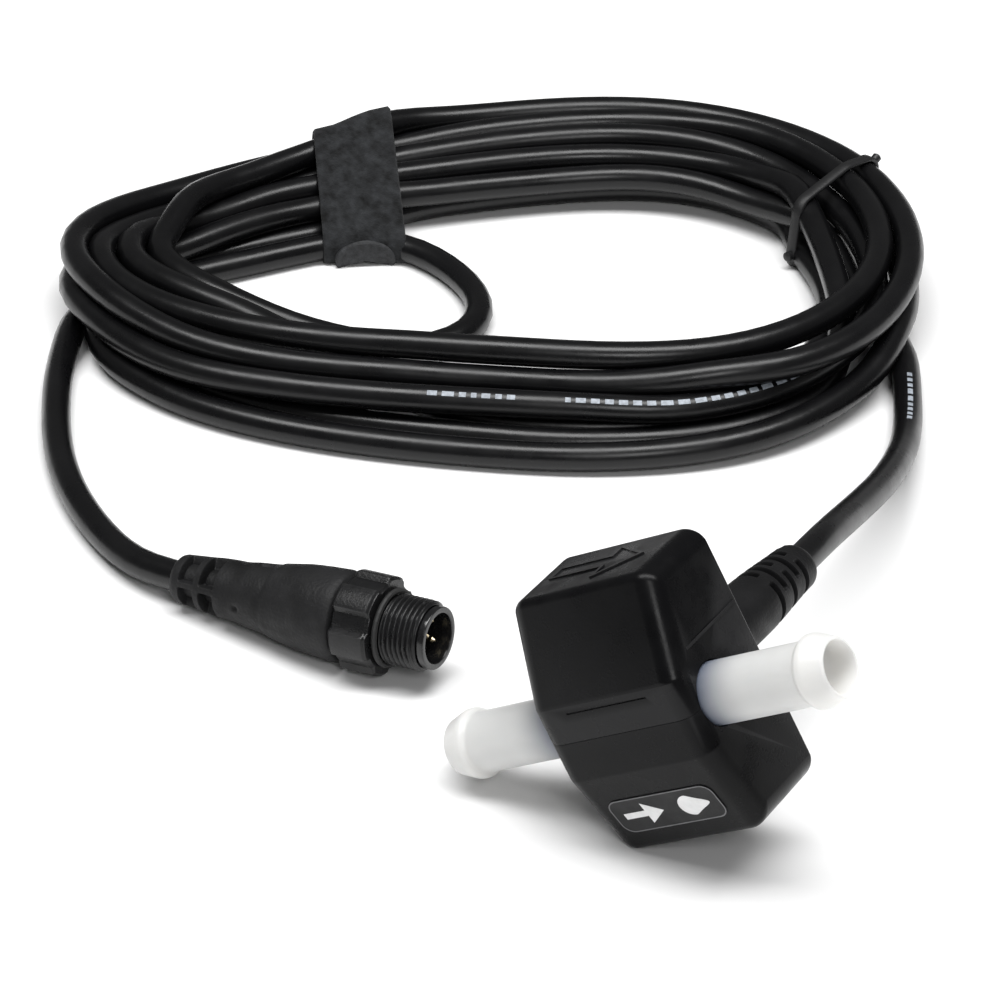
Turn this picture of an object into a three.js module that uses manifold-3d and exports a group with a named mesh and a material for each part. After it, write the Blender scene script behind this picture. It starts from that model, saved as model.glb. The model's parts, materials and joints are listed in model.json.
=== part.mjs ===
// In-line turbine flow sensor for small fuel hoses, with its coiled cable and M12 connector.
// Millimetres, +Z up. The sensor leans on the lower edge of one end, as it lies on a table.
// Sensor frame: X along the pipe, Y towards the cable side, Z up the housing, origin mid-pipe.

import * as THREE from 'three';
import { mergeVertices } from 'three/addons/utils/BufferGeometryUtils.js';
import Module from 'manifold-3d';

const wasm = await Module();
wasm.setup();

// ---------- driving dimensions ----------

const GAP = 0.3;                  // clearance between touching pieces
const ROUND = 28;                 // sides on a turned piece
const SMALL_ROUND = 12;           // sides on a small turned piece

// housing: a block with a belly over the pipe, split at the pipe's height
const HALF_LENGTH = 14.8;
const END_DRAFT = 0.55;           // how much each end leans in from the pipe to the top or bottom
const END_FILLET = 3.3;
const EDGE_RADIUS = 1.8;
const TOP = 21.9;
const BOTTOM = -21.8;
const BACK = 14.5;
const FRONT_TOP = -1.7;
const BELLY = -7.7;
const BELLY_TOP = 6.3;
const BELLY_BOTTOM = -6.5;
const FRONT_BOTTOM = -3;
const WALL = 2;
const SEAM = 0.2;
const TILT = THREE.MathUtils.degToRad(31);

// pipe: two barbs plugged into a measuring chamber
const TUBE_RADIUS = 4.9;
const HEAD_RADIUS = 5.75;          // the collar that holds the hose
const HEAD_START = 32.3;
const MOUTH_RADIUS = 4.7;
const BORE_RADIUS = 3.7;
const PIPE_END = 37.4;
const CHAMBER_RADIUS = 5.4;
const CHAMBER_BORE = 4.2;
const CHAMBER_END = 9.3;
const FLANGE_INNER = 11.2;
const FLANGE_OUTER = 12.3;
const SPIGOT_RADIUS = 3.9;
const SPIGOT_END = 7.4;
const SPIGOT_BORE = 3;

// turbine
const SHAFT_RADIUS = 0.55;
const SHAFT_END = 6.6;
const ROTOR_RADIUS = 3.75;
const ROTOR_HUB = 1.5;
const ROTOR_START = -3.9;
const ROTOR_END = 1.9;
const BLADES = 4;
const BLADE_TWIST = THREE.MathUtils.degToRad(70);
const SPIDER_START = 4.6;
const SPIDER_END = 7.1;
const SPIDER_VANES = 3;

// circuit board, in the upper half
const BOARD_BOTTOM = 8.2;
const BOARD_THICKNESS = 1.2;
const BOARD_TOP = BOARD_BOTTOM + BOARD_THICKNESS;
const RIB_X = 6.5;
const RIB_THICKNESS = 1.6;

// strain relief, on the back face
const RELIEF_HEIGHT = -0.7;
const RELIEF_RADIUS = 5.1;
const RELIEF_FLANGE = 6.6;
const RELIEF_LENGTH = 36.5;
const RELIEF_RIBS = 4;
const RELIEF_RIBS_START = 22;     // the plain barrel ends here
const RELIEF_TIP = 3.4;
const RELIEF_DROOP = 1.5;
const LEAD_GAP = 0.9;             // between a cable's end and the piece it runs into, at a slight angle

// cable, coil, strap and tie
const CABLE_RADIUS = 2.7;
const COIL_CENTRE = new THREE.Vector2(-107.7, 130);
const COIL_TURN = THREE.MathUtils.degToRad(32.9);
const COIL_A = 74.2;               // half-axes of the coil's middle line
const COIL_B = 51.9;
const COIL_EGG = 0.27;            // the coil is this much wider at one end, and narrower at the other
const BUNDLE_INNER = -12;         // the bundle's two sides, measured outwards from the middle line
const BUNDLE_OUTER = 9;
const BUNDLE_BOTTOM = 1.8;
const BUNDLE_TOP = 17.4;
const STRAP_ANGLE = THREE.MathUtils.degToRad(112);
const STRAP_SKEW = THREE.MathUtils.degToRad(18);    // it is wound a little askew
const STRAP_WIDTH = 16;
const STRAP_THICKNESS = 1.1;
const TIE_ANGLE = THREE.MathUtils.degToRad(22.5);
const TIE_SKEW = THREE.MathUtils.degToRad(-17);
const TIE_WIDTH = 2.6;
const TIE_THICKNESS = 1;

// connector, measured back from its nose along its axis
const NOSE = new THREE.Vector3(-48, 15.3, 9.65);
const CONNECTOR_YAW = THREE.MathUtils.degToRad(1.6);
const CONNECTOR_PITCH = THREE.MathUtils.degToRad(5.3);
const THREAD_RADIUS = 6;
const THREAD_PITCH = 0.95;
const THREAD_CRESTS = 7;
const THREAD_START = 1.4;
const NUT_FRONT = 9.4;
const NUT_BACK = 16.4;
const NUT_RADIUS = 8.4;
const NUT_LOBES = 6;
const BOOT_FRONT = 17.1;
const BOOT_BACK = 52;
const INSERT_BACK = 22.4;

// ---------- materials ----------

function material(color, roughness, metalness = 0) {
  return new THREE.MeshStandardMaterial({ color, roughness, metalness });
}

const HOUSING_BLACK = material(0x141415, 0.32);
const MILKY_NYLON = material(0xe6e6e2, 0.35);
const CHAMBER_GREY = material(0xc9ccd0, 0.4);
const ROTOR_WHITE = material(0xf2f2ee, 0.4);
const MAGNET_GREY = material(0x4a4c50, 0.45, 0.8);
const STEEL = material(0xb9bcc0, 0.25, 1);
const RUBBER = material(0x1a1a1a, 0.8);
const BOARD_GREEN = material(0x1d5b34, 0.5);
const CHIP_BLACK = material(0x1c1c1e, 0.5);
const TANTALUM = material(0xc28a2a, 0.5);
const COPPER_WIRE = material(0xb04a2c, 0.5);
const RELIEF_BLACK = material(0x1b1b1c, 0.6);
const LABEL_BLACK = material(0x202022, 0.55);
const CABLE_BLACK = material(0x121213, 0.35);
const STRAP_CHARCOAL = material(0x2a2b2d, 0.95);
const BOOT_BLACK = material(0x1d1d1e, 0.65);
const NUT_BLACK = material(0x17171a, 0.45);
const GOLD = material(0xd2ac4e, 0.25, 1);

// ---------- shape helpers ----------

// A closed geometry as a manifold solid, facing out whatever way its triangles ran.
function solid(geometry) {
  const bare = geometry.clone();
  bare.deleteAttribute('normal');
  bare.deleteAttribute('uv');
  const merged = mergeVertices(bare, 1e-4);
  const index = merged.index.array;
  const kept = [];
  for (let i = 0; i < index.length; i += 3) {
    const [a, b, c] = [index[i], index[i + 1], index[i + 2]];
    if (a !== b && b !== c && c !== a) kept.push(a, b, c);
  }
  const vertProperties = new Float32Array(merged.attributes.position.array);
  const make = (triVerts) => new wasm.Manifold(new wasm.Mesh({ numProp: 3, vertProperties, triVerts }));
  const shape = make(new Uint32Array(kept));
  if (shape.volume() > 0) return shape;
  return make(new Uint32Array(kept.reverse()));
}

function geometryOf(shape) {
  const { numProp, vertProperties, triVerts } = shape.getMesh();
  const positions = new Float32Array((vertProperties.length / numProp) * 3);
  for (let i = 0; i < positions.length / 3; i += 1) {
    for (let k = 0; k < 3; k += 1) positions[3 * i + k] = vertProperties[numProp * i + k];
  }
  const geometry = new THREE.BufferGeometry();
  geometry.setAttribute('position', new THREE.BufferAttribute(positions, 3));
  geometry.setIndex(new THREE.BufferAttribute(new Uint32Array(triVerts), 1));
  return geometry;
}

function join(shapes) {
  return shapes.reduce((all, shape) => all.add(shape));
}

function part(name, shape, surface) {
  const mesh = new THREE.Mesh(geometryOf(shape), surface);
  mesh.name = name;
  return mesh;
}

// A box given by its lowest and highest corners.
function box(low, high) {
  const size = high.map((v, i) => v - low[i]);
  const middle = high.map((v, i) => (v + low[i]) / 2);
  return solid(new THREE.BoxGeometry(...size).translate(...middle));
}

// A profile of [distance along X, radius] turned about the X axis.
function turned(profile, sides = ROUND) {
  const points = profile.map(([along, radius]) => new THREE.Vector2(radius, along));
  return solid(new THREE.LatheGeometry(points, sides).rotateZ(-Math.PI / 2));
}

// A solid bar along X from start to end.
function bar(start, end, radius, sides = ROUND) {
  return turned([[start, 0], [start, radius], [end, radius], [end, 0]], sides);
}

// A ring along X from start to end; its profile closes on itself.
function ring(start, end, inner, outer, sides = ROUND) {
  return turned([[start, inner], [start, outer], [end, outer], [end, inner], [start, inner]], sides);
}

function oRing(along, radius, thickness) {
  const torus = new THREE.TorusGeometry(radius, thickness / 2, 8, ROUND).rotateY(Math.PI / 2);
  return solid(torus.translate(along, 0, 0));
}

// A skin over rings of equal point count, closed by a fan at each end about the given apexes.
function loft(rings, firstApex, lastApex) {
  const count = rings[0].length;
  const points = [...rings.flat(), firstApex, lastApex];
  const first = points.length - 2;
  const last = points.length - 1;
  const index = [];
  for (let i = 0; i + 1 < rings.length; i += 1) {
    for (let j = 0; j < count; j += 1) {
      const a = i * count + j;
      const b = i * count + ((j + 1) % count);
      index.push(a, b, b + count, a, b + count, a + count);
    }
  }
  const lastRing = (rings.length - 1) * count;
  for (let j = 0; j < count; j += 1) {
    const next = (j + 1) % count;
    index.push(first, next, j, last, lastRing + j, lastRing + next);
  }
  const geometry = new THREE.BufferGeometry();
  const flat = points.flatMap((p) => [p.x, p.y, p.z]);
  geometry.setAttribute('position', new THREE.Float32BufferAttribute(flat, 3));
  geometry.setIndex(index);
  return solid(geometry);
}

// Circles of the given radii square to a path through the given centres.
function roundLoft(centres, radii, sides) {
  const rings = centres.map((centre, i) => {
    const before = centres[Math.max(i - 1, 0)];
    const after = centres[Math.min(i + 1, centres.length - 1)];
    const along = after.clone().sub(before).normalize();
    const side = new THREE.Vector3(0, 0, 1).cross(along).normalize();
    const up = along.clone().cross(side);
    return Array.from({ length: sides }, (_, k) => {
      const angle = (2 * Math.PI * k) / sides;
      return centre.clone()
        .addScaledVector(side, radii[i] * Math.cos(angle))
        .addScaledVector(up, radii[i] * Math.sin(angle));
    });
  });
  return loft(rings, centres[0], centres[centres.length - 1]);
}

// A round rod bent along a smooth curve through the points.
function rod(points, radius, sides, steps) {
  const section = new THREE.Shape();
  for (let k = 0; k < sides; k += 1) {
    const angle = (2 * Math.PI * (k + 0.5)) / sides;
    const x = radius * Math.cos(angle);
    const y = radius * Math.sin(angle);
    if (k === 0) section.moveTo(x, y);
    else section.lineTo(x, y);
  }
  const extrudePath = new THREE.CatmullRomCurve3(points);
  return solid(new THREE.ExtrudeGeometry(section, { steps, extrudePath }));
}

// ---------- housing ----------

// Moves each side of a closed outline inwards by its own distance; side i runs from corner i.
function insetCorners(corners, distances) {
  const count = corners.length;
  const lines = corners.map((corner, i) => {
    const along = corners[(i + 1) % count].clone().sub(corner).normalize();
    const inward = new THREE.Vector2(-along.y, along.x);
    return { point: corner.clone().addScaledVector(inward, distances[i]), along };
  });
  return lines.map((line, i) => {
    const before = lines[(i + count - 1) % count];
    const across = before.along.cross(line.along);
    const reach = line.point.clone().sub(before.point).cross(line.along) / across;
    return before.point.clone().addScaledVector(before.along, reach);
  });
}

// Replaces each corner of a closed outline by an arc of the given radius.
function roundCorners(corners, radius, steps) {
  const count = corners.length;
  return corners.flatMap((corner, i) => {
    const back = corners[(i + count - 1) % count].clone().sub(corner).normalize();
    const on = corners[(i + 1) % count].clone().sub(corner).normalize();
    const half = Math.acos(back.dot(on)) / 2;
    const centre = corner.clone().addScaledVector(back.clone().add(on).normalize(), radius / Math.sin(half));
    const start = corner.clone().addScaledVector(back, radius / Math.tan(half)).sub(centre);
    const turn = Math.PI - 2 * half;
    return Array.from({ length: steps + 1 }, (_, k) => (
      start.clone().rotateAround(new THREE.Vector2(), (turn * k) / steps).add(centre)
    ));
  });
}

// Adds the points where an outline of (y, z) crosses the pipe's height.
function splitAtPipe(outline) {
  return outline.flatMap((point, i) => {
    const next = outline[(i + 1) % outline.length];
    if (point.y * next.y >= 0) return [point];
    return [point, point.clone().lerp(next, point.y / (point.y - next.y))];
  });
}

// The housing's outer block, or with every side drawn in by shrink.
function housingBlock(shrink, fillet) {
  const corners = [
    [BACK, TOP], [FRONT_TOP, TOP], [BELLY, BELLY_TOP],
    [BELLY, BELLY_BOTTOM], [FRONT_BOTTOM, BOTTOM], [BACK, BOTTOM],
  ].map(([y, z]) => new THREE.Vector2(y, z));
  const steps = 4;
  const backShare = 0.3;          // the back edges are sharper than the others
  const half = Array.from({ length: steps + 1 }, (_, i) => {
    const angle = (Math.PI / 2) * (i / steps);
    const inset = fillet * (1 - Math.cos(angle));
    const x = HALF_LENGTH - shrink - fillet * (1 - Math.sin(angle));
    const distances = [0, 1, 2, 3, 4].map(() => shrink + inset).concat(shrink + backShare * inset);
    const radius = Math.max(EDGE_RADIUS - 0.5 * (shrink + inset), 0.3);
    const outline = splitAtPipe(roundCorners(insetCorners(corners, distances), radius, 3));
    return { x, outline };
  });
  const place = ({ x, outline }, side) => outline.map((p) => (
    new THREE.Vector3(side * (x - END_DRAFT * Math.abs(p.y) / TOP), p.x, p.y)
  ));
  const rings = [
    ...half.slice().reverse().map((station) => place(station, -1)),
    ...half.map((station) => place(station, 1)),
  ];
  const apex = HALF_LENGTH - shrink;
  const middle = (BACK + BELLY) / 2;
  return loft(rings, new THREE.Vector3(-apex, middle, 0), new THREE.Vector3(apex, middle, 0));
}

function alongY(shape) {
  return shape.rotate([0, 0, 90]);
}

// What both halves share: the walls, the ribs that hold the chamber, and the holes in them.
function housingShell() {
  const reach = 30;
  const cavity = housingBlock(WALL, 1.2);
  const inside = housingBlock(WALL / 2, 1.8);
  const ribs = [-RIB_X, RIB_X].map((x) => box(
    [x - RIB_THICKNESS / 2, -reach, -reach],
    [x + RIB_THICKNESS / 2, reach, BOARD_BOTTOM - GAP],
  ).intersect(inside));
  const post = (x, y) => bar(BOARD_TOP + GAP, reach, 1.3, SMALL_ROUND)
    .rotate([0, -90, 0]).translate([x, y, 0]).intersect(inside);
  const posts = [[-9, -0.5], [9, -0.5], [-9, 9.5], [9, 9.5]].map(([x, y]) => post(x, y));
  const tubeHole = bar(-reach, reach, TUBE_RADIUS + GAP);
  const chamberSeat = bar(-FLANGE_OUTER - 0.1, FLANGE_OUTER + 0.1, CHAMBER_RADIUS + GAP);
  const reliefHole = alongY(bar(0, reach, RELIEF_RADIUS + GAP)).translate([0, 0, RELIEF_HEIGHT]);
  const reliefSeat = alongY(bar(6, BACK - WALL, RELIEF_FLANGE + GAP)).translate([0, 0, RELIEF_HEIGHT]);
  return join([housingBlock(0, END_FILLET).subtract(cavity), ...ribs, ...posts])
    .subtract(tubeHole).subtract(chamberSeat).subtract(reliefHole).subtract(reliefSeat);
}

function housingUpper(shell) {
  const upper = shell.intersect(box([-50, -50, SEAM / 2], [50, 50, 50]));
  return part('housing_upper', upper, HOUSING_BLACK);
}

function housingLower(shell) {
  const lower = shell.intersect(box([-50, -50, -50], [50, 50, -SEAM / 2]));
  return part('housing_lower', lower, HOUSING_BLACK);
}

// A thin sticker on the lower front face, a hair off it.
function label() {
  const width = 19.6;
  const height = 7;
  const corner = 2;
  const thickness = 0.35;
  const outline = new THREE.Shape();
  outline.moveTo(-width / 2 + corner, -height / 2);
  outline.absarc(width / 2 - corner, -height / 2 + corner, corner, -Math.PI / 2, 0);
  outline.absarc(width / 2 - corner, height / 2 - corner, corner, 0, Math.PI / 2);
  outline.absarc(-width / 2 + corner, height / 2 - corner, corner, Math.PI / 2, Math.PI);
  outline.absarc(-width / 2 + corner, -height / 2 + corner, corner, Math.PI, Math.PI * 1.5);
  const slope = Math.atan2(FRONT_BOTTOM - BELLY, BELLY_BOTTOM - BOTTOM);
  const share = 0.534;            // how far down the lower front face its middle lies
  const y = THREE.MathUtils.lerp(BELLY, FRONT_BOTTOM, share);
  const z = THREE.MathUtils.lerp(BELLY_BOTTOM, BOTTOM, share);
  const geometry = new THREE.ExtrudeGeometry(outline, { depth: thickness, bevelEnabled: false, curveSegments: 4 });
  geometry.translate(0, 0, GAP / 2).rotateX(Math.PI / 2 + slope).translate(-0.45, y, z);
  return part('label', solid(geometry), LABEL_BLACK);
}

// ---------- flow path ----------

function barb(name, side) {
  const profile = [
    [SPIGOT_END, SPIGOT_BORE], [SPIGOT_END, SPIGOT_RADIUS], [FLANGE_INNER, SPIGOT_RADIUS],
    [FLANGE_INNER, CHAMBER_RADIUS], [FLANGE_OUTER, CHAMBER_RADIUS], [FLANGE_OUTER, TUBE_RADIUS],
    [HEAD_START, TUBE_RADIUS], [HEAD_START + 0.7, HEAD_RADIUS], [HEAD_START + 2.3, HEAD_RADIUS],
    [PIPE_END - 1.1, 5.3], [PIPE_END, MOUTH_RADIUS],
    [PIPE_END, BORE_RADIUS], [13.6, BORE_RADIUS], [12.6, SPIGOT_BORE], [SPIGOT_END, SPIGOT_BORE],
  ];
  const shape = turned(profile.map(([along, radius]) => [side * along, radius]), 24);
  return part(name, shape, MILKY_NYLON);
}

function flowChamber() {
  const shape = ring(-CHAMBER_END, CHAMBER_END, CHAMBER_BORE, CHAMBER_RADIUS);
  return part('flow_chamber', shape, CHAMBER_GREY);
}

function pipeSeal(name, side) {
  const along = side * (CHAMBER_END + FLANGE_INNER) / 2;
  return part(name, oRing(along, 4.75, 1), RUBBER);
}

// A hub carried by vanes inside a rim; it holds one end of the shaft and straightens the flow.
function bearingSpider(name, side) {
  const rimInner = 3.4;
  const hubOuter = 1.5;
  const vane = box([SPIDER_START, -0.35, hubOuter - 0.3], [SPIDER_END, 0.35, rimInner + 0.2]);
  const vanes = Array.from({ length: SPIDER_VANES }, (_, k) => vane.rotate([(360 * k) / SPIDER_VANES, 0, 0]));
  const shape = join([
    ring(SPIDER_START, SPIDER_END, rimInner, CHAMBER_BORE - 0.25, 24),
    ring(SPIDER_START, SPIDER_END, SHAFT_RADIUS + GAP, hubOuter, SMALL_ROUND),
    ...vanes,
  ]);
  return part(name, side > 0 ? shape : shape.mirror([1, 0, 0]), CHAMBER_GREY);
}

function turbineRotor() {
  const steps = 5;
  const thickness = 0.7;
  const blade = (turn) => {
    const rings = Array.from({ length: steps + 1 }, (_, i) => {
      const share = i / steps;
      const x = THREE.MathUtils.lerp(ROTOR_START, ROTOR_END, share);
      const angle = turn + BLADE_TWIST * share;
      const corners = [[1.2, -thickness / 2], [ROTOR_RADIUS, -thickness / 2], [ROTOR_RADIUS, thickness / 2], [1.2, thickness / 2]];
      return corners.map(([out, across]) => new THREE.Vector3(
        x,
        out * Math.cos(angle) - across * Math.sin(angle),
        out * Math.sin(angle) + across * Math.cos(angle),
      ));
    });
    const apex = (corners) => corners[0].clone().lerp(corners[2], 0.5);
    return loft(rings, apex(rings[0]), apex(rings[steps]));
  };
  const blades = Array.from({ length: BLADES }, (_, k) => blade((2 * Math.PI * k) / BLADES));
  const hub = bar(ROTOR_START, ROTOR_END, ROTOR_HUB, SMALL_ROUND);
  const bore = bar(ROTOR_START - 1, ROTOR_END + 1, SHAFT_RADIUS + GAP, SMALL_ROUND);
  return part('turbine_rotor', join([hub, ...blades]).subtract(bore), ROTOR_WHITE);
}

function rotorMagnet() {
  const shape = ring(ROTOR_END + GAP, 3.9, SHAFT_RADIUS + GAP, 2.4, 16);
  return part('rotor_magnet', shape, MAGNET_GREY);
}

function rotorShaft() {
  return part('rotor_shaft', bar(-SHAFT_END, SHAFT_END, SHAFT_RADIUS, SMALL_ROUND), STEEL);
}

// ---------- electronics ----------

function circuitBoard() {
  const shape = box([-11.6, -3.8, BOARD_BOTTOM], [11.6, 12, BOARD_TOP]);
  return part('circuit_board', shape, BOARD_GREEN);
}

// A flat chip body with a row of leads along two sides.
function chip(name, centre, width, depth, height, leads) {
  const [x, y] = centre;
  const bottom = BOARD_TOP + GAP;
  const body = box([x - width / 2, y - depth / 2, bottom + 0.1], [x + width / 2, y + depth / 2, bottom + height]);
  const pitch = width / leads;
  const legs = Array.from({ length: leads }, (_, k) => {
    const at = x - width / 2 + pitch * (k + 0.5);
    return box([at - 0.2, y - depth / 2 - 0.7, bottom], [at + 0.2, y + depth / 2 + 0.7, bottom + 0.35]);
  });
  return part(name, join([body, ...legs]), CHIP_BLACK);
}

function hallSensor() {
  const x = 3.1;
  const body = box([x - 2, -1.5, 6], [x + 2, 0.1, 7.5]);
  const legs = [-1.27, 0, 1.27].map((step) => box(
    [x + step - 0.2, 0, 6.5],
    [x + step + 0.2, 1.4, BOARD_BOTTOM - GAP],
  ));
  return part('hall_sensor', join([body, ...legs]), CHIP_BLACK);
}

function capacitor(name, x) {
  const y = 8.8;
  const bottom = BOARD_TOP + GAP;
  const shape = box([x - 1.8, y - 1.4, bottom], [x + 1.8, y + 1.4, bottom + 1.9]);
  return part(name, shape, TANTALUM);
}

// One insulated wire from the cable's end up to the board; place runs from -2 to 2 across the row.
function wire(name, place) {
  const start = 0.85 * place;
  const finish = 1.4 * place;
  const shape = rod([
    new THREE.Vector3(start, 10, RELIEF_HEIGHT),
    new THREE.Vector3(start, 8.6, RELIEF_HEIGHT + 0.6),
    new THREE.Vector3((start + finish) / 2, 7.6, 2.4),
    new THREE.Vector3(finish, 7.8, 5.4),
    new THREE.Vector3(finish, 7.8, BOARD_BOTTOM - GAP),
  ], 0.38, 6, 8);
  return part(name, shape, COPPER_WIRE);
}

// ---------- cable ----------

// Along +Y from inside the back wall: a flange, a plain barrel and a ribbed, tapering end that droops.
// The origin is where its axis meets the housing's back face; it is set in the frame of the table.
function strainRelief() {
  const droop = (y) => -RELIEF_DROOP * Math.max(y / RELIEF_LENGTH, 0) ** 2;
  const stations = [
    [-WALL - 1.9, RELIEF_FLANGE], [-WALL - GAP, RELIEF_FLANGE], [-WALL - GAP + 0.01, RELIEF_RADIUS],
    [RELIEF_RIBS_START / 2, RELIEF_RADIUS], [RELIEF_RIBS_START, RELIEF_RADIUS],
  ];
  const plainTip = 2.5;
  const groove = 0.9;
  const pitch = (RELIEF_LENGTH - plainTip - RELIEF_RIBS_START) / RELIEF_RIBS;
  for (let k = 0; k < RELIEF_RIBS; k += 1) {
    const start = RELIEF_RIBS_START + pitch * k;
    const radius = THREE.MathUtils.lerp(RELIEF_RADIUS, RELIEF_TIP + 0.3, k / RELIEF_RIBS);
    const bottom = Math.max(radius - groove, RELIEF_TIP - 0.4);
    stations.push([start + 0.1, bottom], [start + groove, bottom], [start + groove + 0.1, radius]);
    stations.push([start + pitch, radius - 0.15]);
  }
  stations.push([RELIEF_LENGTH - plainTip + 0.1, RELIEF_TIP], [RELIEF_LENGTH, RELIEF_TIP - 0.1]);
  const centres = stations.map(([y]) => new THREE.Vector3(0, y, droop(y)));
  return part('strain_relief', roundLoft(centres, stations.map(([, radius]) => radius), 20), RELIEF_BLACK);
}

// Free cable from the strain relief's end to the coil's right side; start is that end.
function cableToSensor(start) {
  const points = [
    start,
    new THREE.Vector3(-0.6, 56.5, 21.2),
    new THREE.Vector3(-1.9, 65, 19),
    new THREE.Vector3(-3.2, 74, 16.5),
    new THREE.Vector3(-4.6, 83, 14),
    new THREE.Vector3(-6, 91.9, 11.6),
    new THREE.Vector3(-7.7, 100.3, 9.5),
    new THREE.Vector3(-9.8, 108.7, 7.5),
    new THREE.Vector3(-12.8, 117.5, 5.4),
    new THREE.Vector3(-16.6, 127, 3.8),
    new THREE.Vector3(-20, 135, 3),
    new THREE.Vector3(-23.2, 141, 2.8),
  ];
  return part('cable_to_sensor', rod(points, CABLE_RADIUS, 10, 14), CABLE_BLACK);
}

// Free cable from the coil's left side to the connector's boot; end is where the boot begins.
function cableToConnector(end) {
  const points = [
    new THREE.Vector3(-164.2, 68.8, 2.8),
    new THREE.Vector3(-160, 61.2, 2.8),
    new THREE.Vector3(-153.7, 52, 2.8),
    new THREE.Vector3(-146.6, 42.8, 2.8),
    new THREE.Vector3(-139, 34.6, 2.8),
    new THREE.Vector3(-131, 27.8, 2.8),
    new THREE.Vector3(-122.8, 22.2, 2.9),
    new THREE.Vector3(-114.6, 17.8, 3.2),
    new THREE.Vector3(-107, 15, 3.9),
    end,
  ];
  return part('cable_to_connector', rod(points, CABLE_RADIUS, 10, 12), CABLE_BLACK);
}

// A point on the coil's middle line, or off it by a distance outwards; angle is the ellipse's own.
function coilPoint(angle, outwards) {
  const halfWidth = COIL_B * (1 + COIL_EGG * Math.cos(angle));
  const middle = new THREE.Vector2(COIL_A * Math.cos(angle), halfWidth * Math.sin(angle));
  return middle.addScaledVector(coilNormal(angle), outwards);
}

// The outward normal of the coil's middle line, as a unit vector.
function coilNormal(angle) {
  const across = COIL_B * (Math.cos(angle) + COIL_EGG * Math.cos(2 * angle));
  return new THREE.Vector2(across, COIL_A * Math.sin(angle)).normalize();
}

function coilOutline(outwards, sides) {
  return Array.from({ length: sides }, (_, k) => coilPoint((2 * Math.PI * k) / sides, outwards));
}

function placeOnTable(geometry) {
  return geometry.rotateZ(COIL_TURN).translate(COIL_CENTRE.x, COIL_CENTRE.y, 0);
}

function cableCoil() {
  const bevel = 3;
  const shape = new THREE.Shape(coilOutline(BUNDLE_OUTER - bevel, 40));
  shape.holes.push(new THREE.Path(coilOutline(BUNDLE_INNER + bevel, 40).reverse()));
  const depth = BUNDLE_TOP - BUNDLE_BOTTOM - 2 * bevel;
  const geometry = new THREE.ExtrudeGeometry(shape, {
    depth, bevelThickness: bevel, bevelSize: bevel, bevelSegments: 2, curveSegments: 1,
  });
  return part('cable_coil', solid(placeOnTable(geometry.translate(0, 0, BUNDLE_BOTTOM + bevel))), CABLE_BLACK);
}

// A flat closed band round the bundle at one place on the coil; its loop runs from inner to outer.
function bandRoundBundle({ angle, skew, width, thickness, inner, outer }) {
  const clearance = 0.5;
  const halfLength = (outer - inner) / 2;
  const low = BUNDLE_BOTTOM - clearance;
  const high = BUNDLE_TOP + clearance;
  const frame = (grow, radius) => {
    const path = new THREE.Path();
    const right = halfLength + grow;
    const bottom = low - grow;
    const top = high + grow;
    path.absarc(right - radius, bottom + radius, radius, -Math.PI / 2, 0);
    path.absarc(right - radius, top - radius, radius, 0, Math.PI / 2);
    path.absarc(radius - right, top - radius, radius, Math.PI / 2, Math.PI);
    path.absarc(radius - right, bottom + radius, radius, Math.PI, 1.5 * Math.PI);
    return path.getPoints(3);
  };
  const shape = new THREE.Shape(frame(thickness, 3 + thickness));
  shape.holes.push(new THREE.Path(frame(0, 3).reverse()));
  const geometry = new THREE.ExtrudeGeometry(shape, { depth: width, bevelEnabled: false });
  const turn = coilNormal(angle).angle() - skew;
  const at = coilPoint(angle, (inner + outer) / 2);
  geometry.translate(0, 0, -width / 2).rotateX(Math.PI / 2).rotateZ(turn).translate(at.x, at.y, 0);
  return solid(placeOnTable(geometry));
}

function coilStrap() {
  const band = bandRoundBundle({
    angle: STRAP_ANGLE, skew: STRAP_SKEW, width: STRAP_WIDTH, thickness: STRAP_THICKNESS,
    inner: BUNDLE_INNER - 8.5, outer: BUNDLE_OUTER + 4,
  });
  return part('coil_strap', band, STRAP_CHARCOAL);
}

function coilTie() {
  const band = bandRoundBundle({
    angle: TIE_ANGLE, skew: TIE_SKEW, width: TIE_WIDTH, thickness: TIE_THICKNESS,
    inner: BUNDLE_INNER - 2, outer: BUNDLE_OUTER + 2,
  });
  return part('coil_tie', band, NUT_BLACK);
}

// ---------- connector: every piece runs along X, with the nose at 0 and the boot at negative X ----------

function backFromNose(profile) {
  return profile.map(([back, radius]) => [-back, radius]);
}

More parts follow.
